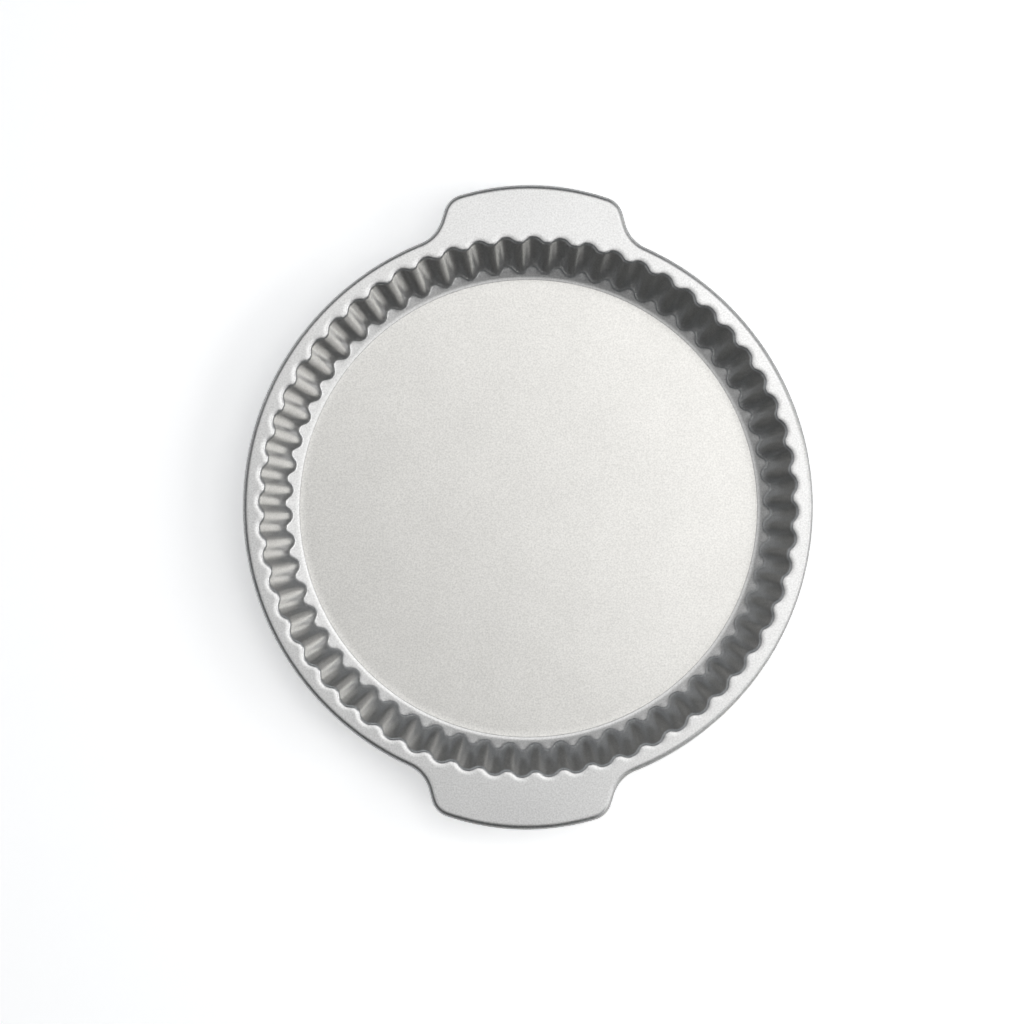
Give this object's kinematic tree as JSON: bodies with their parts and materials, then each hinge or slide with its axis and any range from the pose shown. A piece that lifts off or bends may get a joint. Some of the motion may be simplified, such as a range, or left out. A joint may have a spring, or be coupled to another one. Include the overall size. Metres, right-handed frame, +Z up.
{
  "type": "fluted baking pan",
  "caption": "Round fluted tart or quiche tin of coated steel, with a sloping wall, a rolled lip drawn out into flat handles, and a loose base that lifts out.",
  "frame": {"origin": "on the table, under the middle of the tin", "axes": "+Z up out of the tin's mouth, the handles along +Y and -Y"},
  "size_m": [0.2974, 0.3362, 0.035],
  "materials": {
    "silver_coat_ring": "satin silver-grey non-stick coat with a fine speckle, on pressed steel sheet",
    "silver_coat_base": "satin silver-grey non-stick coat with a fine speckle, on flat steel sheet"
  },
  "bodies": {
    "ring": {"fluted_ring": "silver_coat_ring"},
    "base": {"loose_base": "silver_coat_base"}
  },
  "joints": [
    {"name": "base_lift", "type": "slide", "parent": "ring", "child": "base", "axis": [0, 0, 1], "range_m": [0, 0.06]}
  ]
}
